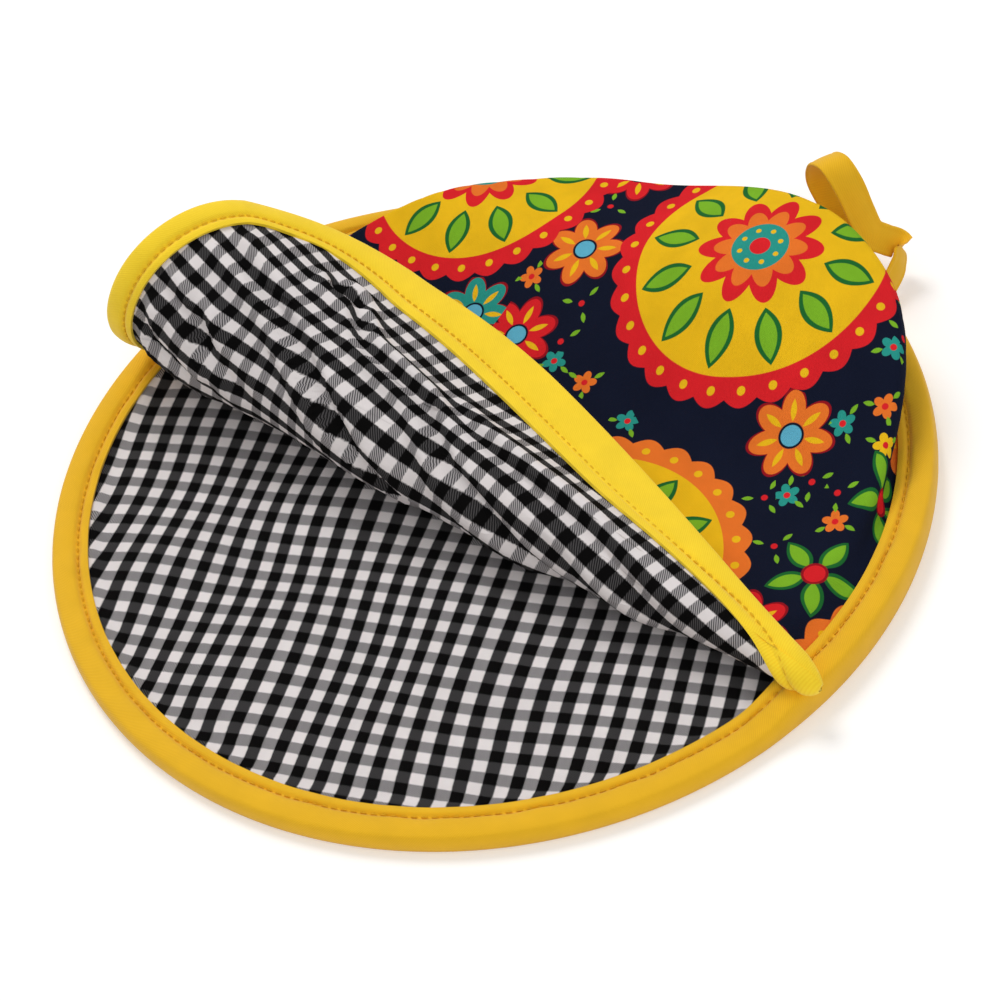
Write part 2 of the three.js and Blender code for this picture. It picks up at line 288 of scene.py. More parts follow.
def place(flat, height):
    """Puts points of the flat upper panel where the opened pouch has them, by their height above
    its printed side."""
    flat, height = np.broadcast_arrays(flat, np.asarray(height)[..., None])
    height = height[..., 0]
    angle, distance = polar(flat)
    count = strip_count(angle)
    height = height - soft_sag(angle, distance, height)
    height = height * np.sqrt(1 - (1 - np.clip((distance - nose_start) / nose_run, 0, 1)) ** 2)
    up = np.array([0.0, 0.0, 1.0])
    away = distance[..., None] * flat_way(angle.ravel()).reshape(flat.shape[:-1] + (3,))
    placed = away + height[..., None] * up
    cover = count <= 0
    placed[..., 2] += np.where(cover, cover_rise(flat)[0], 0)
    out = np.where(cover, overhang(flat)[0] / np.maximum(centre_reach(flat), 1), 0)
    out = out * (1 - lining_overhang_loss * lining_depth(height))
    placed[..., :2] += flat * out[..., None]
    for strip in range(crease_count):
        inside = (count > strip) & (count <= strip + 1)
        (way, way_up), (end_way, end_up) = (
            (facets[end] @ flat_way(strip_angle(end)), facets[end] @ up) for end in (strip, strip + 1))
        axis = np.cross(np.cross(way, way_up), np.cross(end_way, end_up))
        axis /= np.linalg.norm(axis) * np.sign(axis @ way)
        spoke, end_spoke = way - (way @ axis) * axis, end_way - (end_way @ axis) * axis
        sweep = math.atan2(np.cross(spoke, end_spoke) @ axis, spoke @ end_spoke)
        turns = turn(axis, sweep * (count[inside] - strip))
        placed[inside] = (distance[inside][:, None] * (turns @ way)
                          + height[inside][:, None] * (turns @ way_up))
    beyond = count > crease_count
    placed[beyond] = (away[beyond] + height[beyond][:, None] * up) @ facets[crease_count].T
    placed = placed + fold_point
    return np.where(cover[..., None], draw_in(placed), placed)


def reach_to_circle(angle, radius):
    along = round_way(angle) @ fold_point[:2]
    return along + np.sqrt(along ** 2 - fold_point[0] ** 2 - fold_point[1] ** 2 + radius ** 2)


def add_object(name, data):
    thing = bpy.data.objects.new(name, data)
    bpy.context.scene.collection.objects.link(thing)
    return thing


def cells(grid, flip):
    """The corners of a grid's cells, in turn."""
    corners = [grid[:-1, :-1], grid[1:, :-1], grid[1:, 1:], grid[:-1, 1:]]
    return corners[::-1] if flip else corners


sharp_angle = math.radians(62)


class Cloth:
    """Collects grids of points into one mesh with a flat map of the cloth."""

    def __init__(self):
        self.points, self.faces, self.corners, self.slots = [], [], [], []
        self.count = 0

    def add_points(self, points):
        index = np.arange(points.shape[0] * points.shape[1]).reshape(points.shape[:2]) + self.count
        self.points.append(points.reshape(-1, 3))
        self.count += index.size
        return index

    def grid(self, points, flat, slot=0, wrap=False, wrap_rows=False):
        index = self.add_points(points)
        if wrap:
            index = np.concatenate([index, index[:, :1]], 1)
        if wrap_rows:
            index = np.concatenate([index, index[:1]], 0)
        self.quads(index, flat, slot)
        return index

    def quads(self, index, flat, slot=0, flip=False):
        quads = np.stack(cells(index, flip), -1).reshape(-1, 4)
        self.faces.extend(quads.tolist())
        self.corners.append(np.stack(cells(flat, flip), -2).reshape(-1, 2))
        self.slots.extend([slot] * len(quads))

    def fan(self, indices, flat, slot=0):
        self.faces.append(list(indices))
        self.corners.append(np.asarray(flat, float).reshape(-1, 2))
        self.slots.append(slot)

    def tube(self, points, flat, slot=0):
        index = self.grid(points, flat, slot, wrap=True)
        self.fan(index[0, :-1], flat[0, :-1], slot)
        self.fan(index[-1, :-1][::-1], flat[-1, :-1], slot)

    def layer(self, top, bottom, flat, slot=0):
        """A closed layer between two grids."""
        above, below = self.add_points(top), self.add_points(bottom)
        self.quads(above, flat, slot)
        self.quads(below, flat, slot, flip=True)
        whole = slice(None)
        edges = ((0, whole), (-1, whole), (whole, 0), (whole, -1))
        for edge, flip in zip(edges, (False, True, True, False)):
            rows, maps = np.stack([above[edge], below[edge]]), np.stack([flat[edge], flat[edge]])
            self.quads(rows, maps, slot, flip)

    def build(self, name, materials, body):
        mesh = bpy.data.meshes.new(name)
        points = np.concatenate(self.points) * MM
        mesh.from_pydata(points.tolist(), [], self.faces)
        uv = mesh.uv_layers.new(name="cloth")
        uv.data.foreach_set("uv", (np.concatenate(self.corners) * MM).ravel())
        for material in materials:
            mesh.materials.append(material)
        mesh.polygons.foreach_set("material_index", self.slots)
        mesh.polygons.foreach_set("use_smooth", [True] * len(mesh.polygons))
        mesh.set_sharp_from_angle(angle=sharp_angle)
        mesh.update()
        piece = add_object(name, mesh)
        if body:
            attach(piece, body)
        return piece


# Materials from formulas on the cloth's flat map
def set_inputs(tree, node, inputs):
    """Links inputs to sockets and fields and sets values."""
    for slot, value in inputs.items():
        value = getattr(value, "socket", value)
        if isinstance(value, bpy.types.NodeSocket):
            tree.links.new(value, node.inputs[slot])
        else:
            node.inputs[slot].default_value = value


def new_node(tree, kind, inputs, **settings):
    node = tree.nodes.new("ShaderNode" + kind)
    for name, value in settings.items():
        setattr(node, name, value)
    set_inputs(tree, node, inputs)
    return node


class Field:
    """A shader value that adds and multiplies like a number."""

    def __init__(self, socket):
        self.socket = socket
        self.tree = socket.id_data

    def apply(self, operation, *others):
        inputs = dict(enumerate((self, *others)))
        return Field(new_node(self.tree, "Math", inputs, operation=operation).outputs[0])

    def __add__(self, other):
        return self.apply("ADD", other)

    def __sub__(self, other):
        return self.apply("SUBTRACT", other)

    def __mul__(self, other):
        return self.apply("MULTIPLY", other)

    def __truediv__(self, other):
        return self.apply("DIVIDE", other)

    def over(self, other):
        return self.apply("GREATER_THAN", other)

    def ramp(self, low, high):
        """0 below low, 1 over high, and smooth between them."""
        inputs = {"Value": self, "From Min": low, "From Max": high}
        node = new_node(self.tree, "MapRange", inputs, interpolation_type="SMOOTHSTEP")
        return Field(node.outputs["Result"])


class Paint:
    """A principled material whose colour is painted layer over layer."""

    def __init__(self, name, roughness, specular=0.25, sheen=0.0):
        self.material = bpy.data.materials.new(name)
        self.material.use_nodes = True
        self.tree = self.material.node_tree
        self.set_shader({"Roughness": roughness, "Specular IOR Level": specular, "Sheen Weight": sheen})
        self.uv = new_node(self.tree, "UVMap", {}, uv_map="cloth").outputs[0]

    def set_shader(self, inputs):
        set_inputs(self.tree, self.tree.nodes["Principled BSDF"], inputs)

    def axes(self, angle=0.0, source=None):
        """The flat map's two coordinates, turned by an angle, in metres."""
        split = new_node(self.tree, "SeparateXYZ", {0: source or self.uv})
        x, y = Field(split.outputs[0]), Field(split.outputs[1])
        if angle == 0:
            return x, y
        cosine, sine = math.cos(angle), math.sin(angle)
        return x * cosine + y * sine, y * cosine - x * sine

    def noise(self, scale, detail=2.0):
        inputs = {"Scale": scale, "Detail": detail, "Vector": self.uv}
        return Field(new_node(self.tree, "TexNoise", inputs).outputs[0])

    def colour(self, value):
        if isinstance(value, tuple):
            node = new_node(self.tree, "RGB", {})
            node.outputs[0].default_value = (*value, 1)
            value = node.outputs[0]
        return value

    def mix(self, factor, below, above):
        inputs = {"Factor": factor, 6: self.colour(below), 7: self.colour(above)}
        return new_node(self.tree, "Mix", inputs, data_type="RGBA", clamp_factor=True).outputs[2]

    def mottle(self, colour, scale, detail, depth, least):
        """A colour that noise makes lighter and darker."""
        inputs = {0: self.colour(colour), "Scale": self.noise(scale, detail) * depth + least}
        return new_node(self.tree, "VectorMath", inputs, operation="SCALE").outputs[0]

    def finish(self, colour, height, distance, strength=0.5):
        inputs = {"Distance": distance, "Strength": strength, "Height": height}
        bump = new_node(self.tree, "Bump", inputs)
        self.set_shader({"Base Color": colour, "Normal": bump.outputs[0]})
        return self.material


def srgb(code):
    """A hex code's colour in linear light."""
    parts = [int(code[place:place + 2], 16) / 255 for place in (1, 3, 5)]
    return tuple(part / 12.92 if part <= 0.04045 else ((part + 0.055) / 1.055) ** 2.4 for part in parts)


gingham_period = 8.7 * MM
hatch_pitch = 0.95 * MM
thread_pitch = 0.55 * MM
fray_length = 0.8 * MM
fray_reach = 0.5 * MM
rib_pitch = 0.8 * MM
rib_slant = 0.9
motif_edge = 0.35


def stripe(coordinate, period, softness=0.07):
    """1 on every other band of a period, with soft edges."""
    wave = ((coordinate / period).apply("FRACT") - 0.5).apply("ABSOLUTE")
    return wave.ramp(0.25 - softness / 2, 0.25 + softness / 2)


def woven(across, along):
    """The height of the cloth's threads."""
    turns = math.tau / thread_pitch
    return (across * turns).apply("SINE") * (along * turns).apply("SINE")


def make_gingham(name, angle):
    paint = Paint(name, roughness=0.95, specular=0.05)
    across, along = paint.axes(angle)
    fray = (paint.noise(1 / fray_length, 1.0) - 0.5) * fray_reach
    columns = stripe(across + fray, gingham_period)
    rows = stripe(along + fray, gingham_period)
    hatch = stripe(across + along, hatch_pitch, softness=0.3)
    only_columns = paint.mix(hatch, srgb("#1c1b1b"), srgb("#4e4c4d"))
    only_rows = paint.mix(hatch, srgb("#4c4a4b"), srgb("#b5b0b1"))
    light = paint.mix(columns, srgb("#ebe4e3"), only_columns)
    dark = paint.mix(columns, only_rows, srgb("#0b0a0a"))
    colour = paint.mix(rows, light, dark)
    colour = paint.mottle(colour, 60.0, 3.0, 0.22, 0.89)
    return paint.finish(colour, woven(across, along), distance=0.15 * MM)


def make_twill(name, code, shade_code):
    paint = Paint(name, roughness=0.82, sheen=0.15)
    along, across = paint.axes()
    rib = stripe(along + across * rib_slant, rib_pitch, softness=0.45)
    colour = paint.mix(rib, srgb(code), srgb(shade_code))
    colour = paint.mottle(colour, 90.0, 3.0, 0.2, 0.9)
    return paint.finish(colour, rib, distance=0.12 * MM, strength=0.4)


navy, red, orange, yellow, teal, green, dark_green, pale_blue, maroon = map(srgb, (
    "#11172b", "#e3242b", "#f27a2c", "#f6c21c", "#2b9a8d", "#7fb92a", "#1f6b30", "#62b6d2", "#9b1420"))
print_shift = (-46 * MM, 26 * MM, 0)

# The print's motifs stand in cells: a cell's width and how far they stray in it
small_cells, middle_cells, large_cells = (13.5, 0.75), (35, 0.5), (128, 0.1)


class Motif:
    """Scattered places, each with polar coordinates in millimetres and two random numbers."""

    def __init__(self, paint, cells, lookup):
        width, stray = cells
        inputs = {"Scale": 1 / (width * MM), "Randomness": stray, "Vector": lookup}
        node = new_node(paint.tree, "TexVoronoi", inputs, voronoi_dimensions="2D")
        self.place = node.outputs["Position"]
        away = new_node(paint.tree, "VectorMath", {0: lookup, 1: self.place}, operation="SUBTRACT")
        x, y = paint.axes(source=away.outputs[0])
        self.first, self.second = paint.axes(source=node.outputs["Color"])
        self.reach = (x * x + y * y).apply("SQRT") / MM
        self.angle = y.apply("ARCTAN2", x) + self.first * math.tau

    def beyond(self, radius):
        return self.reach.over(radius)

    def disc(self, radius):
        return (self.reach * -1 + radius).ramp(0, motif_edge)

    def flower(self, radius, petals, depth):
        lobe = (self.angle * (petals / 2)).apply("COSINE").apply("ABSOLUTE")
        return (lobe * (radius * depth) + radius * (1 - depth) - self.reach).ramp(0, motif_edge)

    def spoke(self, count):
        """Sideways distance from the nearest of a count of spokes."""
        share = (self.angle * (count / math.tau) + 0.5).apply("FRACT") - 0.5
        return (share * (math.tau / count) * self.reach).apply("ABSOLUTE")

    def dots(self, count, ring, radius):
        side, out = self.spoke(count), self.reach - ring
        return ((side * side + out * out).apply("SQRT") * -1 + radius).ramp(0, motif_edge)

    def leaves(self, count, middle, half_length, half_width):
        out = (self.reach - middle) / half_length
        return ((out * out * -1 + 1) * half_width - self.spoke(count)).ramp(0, motif_edge)


def make_print(name):
    """Bright folk rosettes, sprigs and small blossoms, scattered on navy."""
    paint = Paint(name, roughness=0.9, specular=0.08)
    shifted = new_node(paint.tree, "VectorMath", {0: paint.uv, 1: print_shift}).outputs[0]
    small, middle, large = (Motif(paint, cells, shifted)
                            for cells in (small_cells, middle_cells, large_cells))
    gap = Motif(paint, large_cells, small.place).beyond(56)
    gap = gap * Motif(paint, middle_cells, small.place).beyond(15.5)
    free = Motif(paint, large_cells, middle.place).beyond(60)
    sprig = middle.second.apply("LESS_THAN", 0.45) * free
    flower = middle.second.over(0.45) * free
    bloom = paint.mix(small.second.over(0.5), orange, teal)
    bloom = paint.mix(small.first.over(0.75), bloom, yellow)
    petal = paint.mix(middle.first.over(0.35), red, orange)
    petal = paint.mix(middle.first.over(0.7), petal, teal)
    ring = paint.mix(large.first.over(0.5), red, orange)
    colour = paint.colour(navy)
    for shape, above in [
        # Small blossoms, leaves and dots in the gaps
        (small.flower(4.6, 5, 0.45) * gap * small.second.over(0.3), bloom),
        (small.disc(1.3) * gap, red),
        (small.leaves(3, 5.6, 2.2, 1.0) * gap, green),
        # Sprigs and flowers of a middle size
        (middle.leaves(5, 9.5, 7.2, 3.9) * sprig, dark_green),
        (middle.leaves(5, 9.5, 6.0, 2.6) * sprig, green),
        (middle.disc(4.6) * sprig, maroon),
        (middle.disc(3.7) * sprig, red),
        (middle.flower(15.6, 7, 0.36) * flower, maroon),
        (middle.flower(14.6, 7, 0.36) * flower, petal),
        (middle.leaves(7, 8.2, 3.8, 1.2) * flower, yellow),
        (middle.disc(4.5) * flower, navy),
        (middle.disc(3.7) * flower, pale_blue),
        # Large rosettes
        (large.flower(54, 28, 0.05), ring),
        (large.dots(28, 48.6, 1.6), yellow),
        (large.disc(44.5), yellow),
        (large.leaves(12, 33.2, 9.4, 4.9), dark_green),
        (large.leaves(12, 33.2, 7.8, 3.2), green),
        (large.flower(22.5, 10, 0.3), red),
        (large.flower(16.8, 10, 0.3), orange),
        (large.disc(10.2), teal),
        (large.dots(8, 7.1, 1.1), yellow),
        (large.disc(3.8), red),
    ]:
        colour = paint.mix(shape, colour, above)
    colour = paint.mottle(colour, 70.0, 4.0, 0.35, 0.83)
    return paint.finish(colour, woven(*paint.axes(0.4)), distance=0.2 * MM)


def make_thread(name, code):
    paint = Paint(name, roughness=0.7)
    colour = paint.mottle(srgb(code), 300.0, 3.0, 0.3, 0.85)
    return paint.finish(colour, paint.noise(1500.0), distance=0.3 * MM)


gingham_base = make_gingham("gingham_base", math.radians(21))
gingham_flap = make_gingham("gingham_flap", math.radians(106))
rim_twill = make_twill("rim_twill", "#f2bd1b", "#eab117")
mouth_twill = make_twill("mouth_twill", "#ffdb2c", "#fad224")
print_cloth = make_print("print_cloth")
rim_thread = make_thread("rim_thread", "#dda616")
mouth_thread = make_thread("mouth_thread", "#e6b91e")


# Gentle unevenness of loose cloth, the same each run
ripple_waves = np.random.default_rng(7).uniform(-1, 1, (12, 3))
ripple_phase = 9


def ripple(flat, length):
    """Smooth uneven waves of about a length."""
    total = 0
    for x_share, y_share, phase in ripple_waves:
        along = flat[..., 0] * x_share + flat[..., 1] * y_share
        total = total + np.sin(math.tau * along / length + phase * ripple_phase)
    return total / math.sqrt(len(ripple_waves))


# Pleats of the upper panel's loose lining: valleys in the flat panel, with a depth and a width
pleats = [
    ([(-112, -88), (-103, -80), (-77, -67), (-56, -52), (-42, -42), (-27, -32), (0, -20)], 2.3, 2.6),
    ([(-74, -71), (-43, -45), (-9, -27), (10, -20)], 1.2, 3.2),
    ([(-70, -90), (-54, -85), (-42, -69), (-14, -59), (7, -42), (42, -29), (60, -24)], 2.2, 2.4),
    ([(-136, -62), (-131, -49), (-121, -37), (-93, -28)], 1.4, 3.0),
    ([(-130, -68), (-125, -60), (-100, -49), (-75, -32)], 1.5, 3.0),
    ([(-104, -64), (-97, -43), (-92, -31)], 1.2, 3.0),
    ([(-67, -95), (-62, -86), (-48, -90)], 1.6, 2.6),
    ([(-6, -66), (10, -56), (33, -47), (60, -41), (82, -33), (104, -26)], 1.9, 2.4),
]
pleat_fade_power = 0.6
ridge_place, ridge_width, ridge_share = 2.1, 1.3, 1.3


def pleat(flat):
    """The pleats' height: valleys with a soft ridge on either side, fading at their ends."""
    total = np.zeros(flat.shape[:-1])
    for line, depth, width in pleats:
        line = np.array(line, float)
        run = run_along(line)
        nearest = np.full(total.shape, np.inf)
        along = np.zeros(total.shape)
        for start, end, begun in zip(line[:-1], line[1:], run):
            way = end - start
            share = np.clip(((flat - start) @ way) / (way @ way), 0, 1)
            away = np.linalg.norm(flat - start - share[..., None] * way, axis=-1)
            closer = away < nearest
            nearest = np.where(closer, away, nearest)
            along = np.where(closer, (begun + share * (way @ way) ** 0.5) / run[-1], along)
        fade = np.sin(np.pi * np.clip(along, 0, 1)) ** pleat_fade_power
        valley = np.exp(-(nearest / width) ** 2)
        ridge = np.exp(-((nearest - ridge_place * width) / (ridge_width * width)) ** 2)
        total = total + depth * fade * (ridge_share * ridge - valley)
    return total


# Puffs of the quilting begin at the tapes' inner edges. Each has a level, ripples and their length
puff_run = 9.0
lining_level, lining_wave, lining_ripple = 0.8, 0.6, 55
print_wave, print_ripple = 0.8, 95
base_level, base_wave, base_ripple = 0.6, 0.6, 52
pleat_share = 1.3
lowest_puff, highest_puff, belly_puff_loss = -1.5, 4.0, 2.0
base_puff_radius = 136.0
base_puff_run = 10.0


def puff_share(flat):
    return smooth(under_tape(flat) / puff_run)


def lining_puff(flat):
    proud = lining_level + lining_wave * ripple(flat, lining_ripple) + pleat_share * pleat(flat)
    highest = highest_puff - belly_puff_loss * belly_share(*polar(flat))
    return np.clip(proud, lowest_puff, highest) * puff_share(flat)


def print_puff(flat):
    return print_wave * ripple(flat, print_ripple) * puff_share(flat)


def base_puff(flat):
    inside = smooth((base_puff_radius - centre_reach(flat)) / base_puff_run)
    return (base_level + base_wave * ripple(flat, base_ripple)) * inside


base_drift, lining_drift = 1.3, 2.2
drift_lengths = (70, 80)


def drifted(flat, reach):
    """The flat map of a loose lining, which has shifted a little."""
    across, along = ripple(flat, drift_lengths[0]), ripple(flat[..., ::-1], drift_lengths[1])
    return flat + reach * np.stack([across, along], -1)


# How far the sagging lining has turned from each place of the roll to its end
whole_belly_distance = 200.0
lining_roll_radius = panel_thickness + 1
least_roll_distance = 25
roll_steps = 100
roll_counts = np.linspace(0, crease_count, roll_steps + 1)
belly_shares = belly_share(strip_angle(roll_counts), whole_belly_distance)
belly_turns = np.cumsum(belly_shares[::-1])[::-1] * crease_turn * crease_count / roll_steps
wall_share = 0.85


def lining_map(flat):
    """The upper lining's flat map: the lining is longer where it goes round the roll."""
    angle, distance = polar(flat)
    count = np.clip(strip_count(angle), 0, crease_count)
    turned = crease_turn * (crease_count - count)
    belly = belly_depth * np.interp(count, roll_counts, belly_turns) * ease(distance, belly_span)
    extra = (turned * lining_roll_radius + belly) / np.maximum(distance, least_roll_distance)
    return drifted(from_polar(angle - extra, distance), lining_drift)


def print_map(flat):
    """The upper print's flat map: it is wider where the cover hangs over the rim and drops."""
    reach = np.maximum(centre_reach(flat), 1)
    wider = overhang(flat)[1] + wall_share * cover_rise(flat)[1]
    return flat * (1 + np.where(strip_place(flat) <= 0, wider, 0) / reach)[..., None]


# The lower panel
disc_steps = 150
base_lift_radius = clear_radius - 5
base_lift_run = 4.5


def disc_grid(radius):
    share = np.linspace(-1, 1, disc_steps)
    across, along = np.meshgrid(share, share, indexing="ij")
    x = across * np.sqrt(1 - along ** 2 / 2)
    y = along * np.sqrt(1 - across ** 2 / 2)
    return np.stack([x, y], -1) * radius


def base_place(flat, height):
    return draw_in(np.concatenate([flat, np.broadcast_to(height, flat.shape[:-1])[..., None]], -1))


def add_layer(name, material, body, top, bottom, flat):
    cloth = Cloth()
    cloth.layer(top, bottom, flat)
    return cloth.build(name, [material], body)


def add_base():
    flat = disc_grid(panel_radius)
    lift = rim_lift * ease(centre_reach(flat), (base_lift_radius, base_lift_run))
    piece = add_layer("base_print", print_cloth, "pouch",
                      base_place(flat, lift + cloth_thickness), base_place(flat, lift), flat)
    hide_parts("base_outer")
    low = lift + cloth_thickness + touch_gap
    high = lift + panel_thickness + base_puff(flat)
    piece = add_layer("base_quilting", gingham_base, "pouch",
                      base_place(flat, high), base_place(flat, low), drifted(flat, base_drift))
    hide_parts("base_lining", "base_batting")


# The upper panel, cut at the middle of each strip of the roll
strip_columns, strip_rows = 14, 110
cover_columns, cover_rows = 230, 90
flap_columns = 44
arc_samples, cut_samples, corner_samples = 110, 150, 30
corner_round = 34.0
arc_overlap = math.radians(3)
seam_end_gap = math.radians(2)
seam_widening = math.radians(12)
seam_crowding = 1.35
arc_hold = 6


def mouth_points():
    """The flap's free edge from the seam's left end to the fold's tip, and its corner's place."""
    start = azimuth_of(from_polar(fold_start, reach_to_circle(fold_start, flap_radius)))
    azimuth = np.linspace(start % math.tau - arc_overlap, mouth_cut_azimuth, arc_samples)
    arc = flap_radius * round_way(azimuth)
    tip = from_polar(cut_angle, fold_tip_run)
    share = np.linspace(0, 1, cut_samples)[1:, None]
    run = tip - corner
    outward = np.array([run[1], -run[0]]) / np.linalg.norm(run)
    cut = corner + run * share + outward * cut_bow(share)
    arc, cut = (line[np.linalg.norm(line - corner, axis=1) > corner_round] for line in (arc, cut))
    share = np.linspace(0, 1, corner_samples + 2)[1:-1, None]
    rounded = arc[-1] * (1 - share) ** 2 + corner * 2 * share * (1 - share) + cut[0] * share ** 2
    return np.concatenate([arc, rounded, cut]), len(arc) + corner_samples // 2


def cut_bow(share):
    """How far the cut bows out: by mouth_bow at a third of its length, hence 6.75."""
    return mouth_bow * 6.75 * share * (1 - share) ** 2


def from_mouth(flat):
    """Distance in from the flap's free edge."""
    angle, distance = polar(flat)
    length = np.linalg.norm(corner - fold_point[:2])
    cut = distance * np.sin(cut_angle - angle) + cut_bow(np.clip(1 - distance / length, 0, 1))
    return np.minimum(cut, flap_radius - centre_reach(flat))


def mouth_width(distance):
    """The mouth tape's width: it narrows towards the fold's tip and round the flap's corner."""
    width = mouth_tip_width + (mouth_tape_width - mouth_tip_width) * ease(distance, mouth_tip_span)
    return width - mouth_arc_narrowing * ease(distance, mouth_arc_span)


def under_tape(flat):
    """Distance in from the mouth tape's inner edge, negative under the tape."""
    return from_mouth(flat) - mouth_width(polar(flat)[1])


mouth, corner_index = mouth_points()
mouth_way = unit(np.gradient(mouth, axis=0))
mouth_inward = np.stack([-mouth_way[:, 1], mouth_way[:, 0]], -1)
mouth_run = run_along(mouth)
corner_run = mouth_run[corner_index]


def panel_ray(count, share):
    """Points along rays from the panel's tip to its edge."""
    angle = strip_angle(count)
    reach = reach_to_circle(angle, edge_radius)
    return from_polar(angle, panel_tip_run + (reach - panel_tip_run) * share)


def strip_grid(strip):
    count = np.linspace(strip - 1, strip, strip_columns)
    return panel_ray(count, np.linspace(0, 1, strip_rows)[:, None])


def cover_grid():
    share = np.linspace(0, 1, cover_columns)
    front = panel_ray(1, share)
    start = azimuth_of(front[0]) + seam_end_gap
    end = azimuth_of(front[-1]) % math.tau - seam_end_gap
    azimuth = start + (end - start) * share
    radius = edge_radius + (panel_radius - edge_radius) * smooth((end - azimuth) / seam_widening)
    seam = radius[:, None] * round_way(azimuth)
    back = 1 - (1 - np.linspace(0, 1, cover_rows)) ** seam_crowding
    return front[:, None] + (seam - front)[:, None] * back[:, None]


def resample(line, samples):
    run = run_along(line)
    return points_at(np.linspace(0, run[-1], samples), run, line)


def flap_grid():
    share = np.linspace(0, 1, strip_rows)
    ray = panel_ray(crease_count, share)
    whole_edge = mouth + mouth_inward * panel_inset
    edge = whole_edge[strip_place(whole_edge) > crease_count]
    turn_index = np.argmin(np.linalg.norm(edge - whole_edge[corner_index], axis=1))
    cut = resample(edge[turn_index:][::-1], strip_rows)
    arc = resample(np.concatenate([ray[-1:], edge[:turn_index + 1]]), flap_columns)
    across = np.linspace(0, 1, flap_columns)[:, None]
    straight = ray[:, None] + (cut - ray)[:, None] * across
    chord = ray[-1] + (cut[-1] - ray[-1]) * across
    bulge = (arc - chord)[None] * (share ** arc_hold)[:, None, None]
    return np.concatenate([strip_grid(crease_count), (straight + bulge)[:, 1:]], 1)


blend_distance = 180.0
blend_step = 0.001


def fold_blend(piece, strip):
    """Places three points of the roll beside the strip's middle, which nothing uses, and bakes the
    piece's transform into its mesh.
    """
    angles = strip_angle(strip - 0.5) + np.array([-blend_step, 0, blend_step])
    before, middle, after = place(from_polar(angles, blend_distance), np.zeros(3))
    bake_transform(piece)


def flat_extent(flat, angle):
    """A cut's size, along an angle and across it, and its area."""
    cosine, sine = math.cos(angle), math.sin(angle)
    turned = flat.reshape(-1, 2) @ np.array([[cosine, -sine], [sine, cosine]])
    size = turned.max(0) - turned.min(0)
    first, second = flat[1:, :-1] - flat[:-1, :-1], flat[:-1, 1:] - flat[:-1, :-1]
    area = np.abs(first[..., 0] * second[..., 1] - first[..., 1] * second[..., 0]).sum()
    return size * MM, area * MM * MM


def add_upper_panel():
    for strip in range(1, crease_count + 1):
        name = {1: "cover", crease_count: "flap"}.get(strip, f"roll_{strip}")
        own_nodes = strip in (1, crease_count)
        if strip == 1:
            flat = cover_grid()
        else:
            flat = flap_grid() if strip == crease_count else strip_grid(strip)
        inner = print_puff(flat) - cloth_thickness
        piece = add_layer(f"{name}_print", print_cloth, None,
                          place(flat, print_puff(flat)), place(flat, inner), print_map(flat))
        fold_blend(piece, strip)
        size, area = flat_extent(flat, 0.0 if own_nodes else strip_angle(strip - 0.5))
        rectangle = size[0] * size[1]
        float(np.clip(area, 0.31 * rectangle, rectangle))
        if own_nodes:
            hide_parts(f"{name}_outer")
        below = place(flat, -panel_thickness - lining_puff(flat))
        piece = add_layer(f"{name}_quilting", gingham_flap, None,
                          place(flat, inner - touch_gap), below, lining_map(flat))
        fold_blend(piece, strip)
        if own_nodes:
            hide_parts(f"{name}_lining", f"{name}_batting")
        if strip < crease_count:
            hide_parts(f"flap_fold_{strip}")


# Tapes: a crown, a groove where they are sewn with its thread, and a thin lip inside it
crown_height, crown_power = 1.3, 0.7
groove_depth, groove_half_width = 0.9, 0.9
lip_height = 0.35
under_share = 0.8
nose_power = 0.8
thread_lift = 0.45
tape_face_steps, tape_nose_steps = 26, 13


def leg_puff(distance, stitch_from_edge, width):
    stitch = width - stitch_from_edge
    crown = np.sin(np.clip(distance / stitch, 0, 1) * math.pi) ** crown_power * crown_height
    lip = lip_height * np.sin(np.clip((distance - stitch) / stitch_from_edge, 0, 1) * math.pi)
    groove = groove_depth * np.exp(-((distance - stitch) / groove_half_width) ** 2)
    return crown + lip - groove


def tape_section(low, high, full_width, stitch_from_edge, width):
    """The tape's section, cut off at a width: distances in from the outer edge and heights."""
    distances = np.minimum(np.linspace(full_width, tape_bulge, tape_face_steps), width)
    puff = leg_puff(distances, stitch_from_edge, full_width)
    lower = np.stack([distances, low - under_share * puff], -1)
    upper = np.stack([distances, high + puff], -1)[::-1]
    middle = (lower[-1, 1] + upper[0, 1]) / 2
    half = (upper[0, 1] - lower[-1, 1]) / 2
    round_angle = np.linspace(-math.pi / 2, math.pi / 2, tape_nose_steps)[1:-1]
    nose = np.stack([tape_bulge * (1 - np.cos(round_angle) ** nose_power),
                     middle + half * np.sin(round_angle)], -1)
    top, bottom = high - tape_thickness, low + tape_thickness
    inner = [(width, top), (tape_bulge, top), (tape_bulge, bottom), (width, bottom)]
    return np.concatenate([lower, nose, upper, inner])


# The rim climbs onto the seam of both panels where the cover's front meets it
rim_climb = math.radians(8)
seam_gap_angle = math.radians(4)
seam_left_climb = seam_gap_angle * 0.9
front_right = 20.0


def rim_height(azimuth):
    right = smooth((azimuth - seam_right_azimuth) / rim_climb)
    left = smooth((seam_left_azimuth - azimuth) / seam_left_climb)
    return front_rim_height + (back_rim_height - front_rim_height) * np.minimum(right, left)


front_angle = strip_angle(0.5)
front_left = float(reach_to_circle(front_angle, clear_radius))
front_ends = azimuth_of(from_polar(front_angle, np.array([front_right, front_left])))
seam_right_azimuth = front_ends[0] - rim_climb
seam_left_azimuth = front_ends[1] % math.tau + seam_gap_angle / 4

